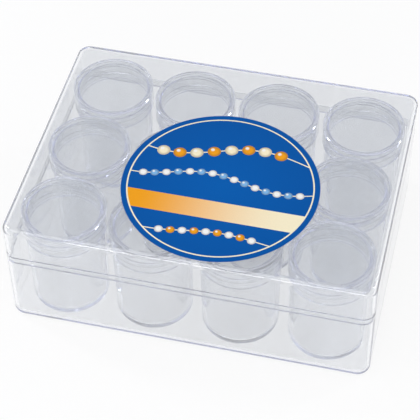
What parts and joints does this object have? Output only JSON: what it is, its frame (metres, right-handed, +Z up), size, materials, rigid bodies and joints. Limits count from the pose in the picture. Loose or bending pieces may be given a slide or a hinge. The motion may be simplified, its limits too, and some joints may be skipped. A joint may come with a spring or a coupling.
{
  "type": "bead organizer",
  "caption": "Clear rectangular case with a lift-off lid, holding clear round screw-top jars in rows for beads and other small craft parts.",
  "frame": {"origin": "on the table, under the middle of the case", "axes": "+X along the case's length to the right, +Y to the back, +Z up"},
  "size_m": [0.16, 0.121, 0.0569],
  "materials": {
    "clear_case": "clear moulded polystyrene, polished",
    "clear_jar": "clear moulded polystyrene, polished",
    "clear_jar_lid": "clear moulded polystyrene, polished",
    "label_paper": "printed paper sticker, satin varnish"
  },
  "bodies": {
    "case_base": {"case_base": "clear_case"},
    "case_lid": {"case_lid": "clear_case", "lid_label": "label_paper"},
    "jar_row1_col1": {"jar_row1_col1": "clear_jar"},
    "jar_lid_row1_col1": {"jar_lid_row1_col1": "clear_jar_lid"},
    "jar_row1_col2": {"jar_row1_col2": "clear_jar"},
    "jar_lid_row1_col2": {"jar_lid_row1_col2": "clear_jar_lid"},
    "jar_row1_col3": {"jar_row1_col3": "clear_jar"},
    "jar_lid_row1_col3": {"jar_lid_row1_col3": "clear_jar_lid"},
    "jar_row1_col4": {"jar_row1_col4": "clear_jar"},
    "jar_lid_row1_col4": {"jar_lid_row1_col4": "clear_jar_lid"},
    "jar_row2_col1": {"jar_row2_col1": "clear_jar"},
    "jar_lid_row2_col1": {"jar_lid_row2_col1": "clear_jar_lid"},
    "jar_row2_col2": {"jar_row2_col2": "clear_jar"},
    "jar_lid_row2_col2": {"jar_lid_row2_col2": "clear_jar_lid"},
    "jar_row2_col3": {"jar_row2_col3": "clear_jar"},
    "jar_lid_row2_col3": {"jar_lid_row2_col3": "clear_jar_lid"},
    "jar_row2_col4": {"jar_row2_col4": "clear_jar"},
    "jar_lid_row2_col4": {"jar_lid_row2_col4": "clear_jar_lid"},
    "jar_row3_col1": {"jar_row3_col1": "clear_jar"},
    "jar_lid_row3_col1": {"jar_lid_row3_col1": "clear_jar_lid"},
    "jar_row3_col2": {"jar_row3_col2": "clear_jar"},
    "jar_lid_row3_col2": {"jar_lid_row3_col2": "clear_jar_lid"},
    "jar_row3_col3": {"jar_row3_col3": "clear_jar"},
    "jar_lid_row3_col3": {"jar_lid_row3_col3": "clear_jar_lid"},
    "jar_row3_col4": {"jar_row3_col4": "clear_jar"},
    "jar_lid_row3_col4": {"jar_lid_row3_col4": "clear_jar_lid"}
  },
  "joints": [
    {"name": "case_lid_lift", "type": "slide", "parent": "case_base", "child": "case_lid", "axis": [0, 0, 1], "range_m": [0, 0.06]},
    {"name": "jar_turn_row1_col1", "type": "hinge", "parent": "case_base", "child": "jar_row1_col1", "pos_m": [-0.05826, -0.03884, 0.00225], "axis": [0, 0, 1], "continuous": true},
    {"name": "jar_lid_unscrew_row1_col1", "type": "hinge", "parent": "jar_row1_col1", "child": "jar_lid_row1_col1", "pos_m": [-0.05826, -0.03884, 0.0506], "axis": [0, 0, 1], "range_deg": [0, 120]},
    {"name": "jar_turn_row1_col2", "type": "hinge", "parent": "case_base", "child": "jar_row1_col2", "pos_m": [-0.01942, -0.03884, 0.00225], "axis": [0, 0, 1], "continuous": true},
    {"name": "jar_lid_unscrew_row1_col2", "type": "hinge", "parent": "jar_row1_col2", "child": "jar_lid_row1_col2", "pos_m": [-0.01942, -0.03884, 0.0506], "axis": [0, 0, 1], "range_deg": [0, 120]},
    {"name": "jar_turn_row1_col3", "type": "hinge", "parent": "case_base", "child": "jar_row1_col3", "pos_m": [0.01942, -0.03884, 0.00225], "axis": [0, 0, 1], "continuous": true},
    {"name": "jar_lid_unscrew_row1_col3", "type": "hinge", "parent": "jar_row1_col3", "child": "jar_lid_row1_col3", "pos_m": [0.01942, -0.03884, 0.0506], "axis": [0, 0, 1], "range_deg": [0, 120]},
    {"name": "jar_turn_row1_col4", "type": "hinge", "parent": "case_base", "child": "jar_row1_col4", "pos_m": [0.05826, -0.03884, 0.00225], "axis": [0, 0, 1], "continuous": true},
    {"name": "jar_lid_unscrew_row1_col4", "type": "hinge", "parent": "jar_row1_col4", "child": "jar_lid_row1_col4", "pos_m": [0.05826, -0.03884, 0.0506], "axis": [0, 0, 1], "range_deg": [0, 120]},
    {"name": "jar_turn_row2_col1", "type": "hinge", "parent": "case_base", "child": "jar_row2_col1", "pos_m": [-0.05826, 0, 0.00225], "axis": [0, 0, 1], "continuous": true},
    {"name": "jar_lid_unscrew_row2_col1", "type": "hinge", "parent": "jar_row2_col1", "child": "jar_lid_row2_col1", "pos_m": [-0.05826, 0, 0.0506], "axis": [0, 0, 1], "range_deg": [0, 120]},
    {"name": "jar_turn_row2_col2", "type": "hinge", "parent": "case_base", "child": "jar_row2_col2", "pos_m": [-0.01942, 0, 0.00225], "axis": [0, 0, 1], "continuous": true},
    {"name": "jar_lid_unscrew_row2_col2", "type": "hinge", "parent": "jar_row2_col2", "child": "jar_lid_row2_col2", "pos_m": [-0.01942, 0, 0.0506], "axis": [0, 0, 1], "range_deg": [0, 120]},
    {"name": "jar_turn_row2_col3", "type": "hinge", "parent": "case_base", "child": "jar_row2_col3", "pos_m": [0.01942, 0, 0.00225], "axis": [0, 0, 1], "continuous": true},
    {"name": "jar_lid_unscrew_row2_col3", "type": "hinge", "parent": "jar_row2_col3", "child": "jar_lid_row2_col3", "pos_m": [0.01942, 0, 0.0506], "axis": [0, 0, 1], "range_deg": [0, 120]},
    {"name": "jar_turn_row2_col4", "type": "hinge", "parent": "case_base", "child": "jar_row2_col4", "pos_m": [0.05826, 0, 0.00225], "axis": [0, 0, 1], "continuous": true},
    {"name": "jar_lid_unscrew_row2_col4", "type": "hinge", "parent": "jar_row2_col4", "child": "jar_lid_row2_col4", "pos_m": [0.05826, 0, 0.0506], "axis": [0, 0, 1], "range_deg": [0, 120]},
    {"name": "jar_turn_row3_col1", "type": "hinge", "parent": "case_base", "child": "jar_row3_col1", "pos_m": [-0.05826, 0.03884, 0.00225], "axis": [0, 0, 1], "continuous": true},
    {"name": "jar_lid_unscrew_row3_col1", "type": "hinge", "parent": "jar_row3_col1", "child": "jar_lid_row3_col1", "pos_m": [-0.05826, 0.03884, 0.0506], "axis": [0, 0, 1], "range_deg": [0, 120]},
    {"name": "jar_turn_row3_col2", "type": "hinge", "parent": "case_base", "child": "jar_row3_col2", "pos_m": [-0.01942, 0.03884, 0.00225], "axis": [0, 0, 1], "continuous": true},
    {"name": "jar_lid_unscrew_row3_col2", "type": "hinge", "parent": "jar_row3_col2", "child": "jar_lid_row3_col2", "pos_m": [-0.01942, 0.03884, 0.0506], "axis": [0, 0, 1], "range_deg": [0, 120]},
    {"name": "jar_turn_row3_col3", "type": "hinge", "parent": "case_base", "child": "jar_row3_col3", "pos_m": [0.01942, 0.03884, 0.00225], "axis": [0, 0, 1], "continuous": true},
    {"name": "jar_lid_unscrew_row3_col3", "type": "hinge", "parent": "jar_row3_col3", "child": "jar_lid_row3_col3", "pos_m": [0.01942, 0.03884, 0.0506], "axis": [0, 0, 1], "range_deg": [0, 120]},
    {"name": "jar_turn_row3_col4", "type": "hinge", "parent": "case_base", "child": "jar_row3_col4", "pos_m": [0.05826, 0.03884, 0.00225], "axis": [0, 0, 1], "continuous": true},
    {"name": "jar_lid_unscrew_row3_col4", "type": "hinge", "parent": "jar_row3_col4", "child": "jar_lid_row3_col4", "pos_m": [0.05826, 0.03884, 0.0506], "axis": [0, 0, 1], "range_deg": [0, 120]}
  ]
}
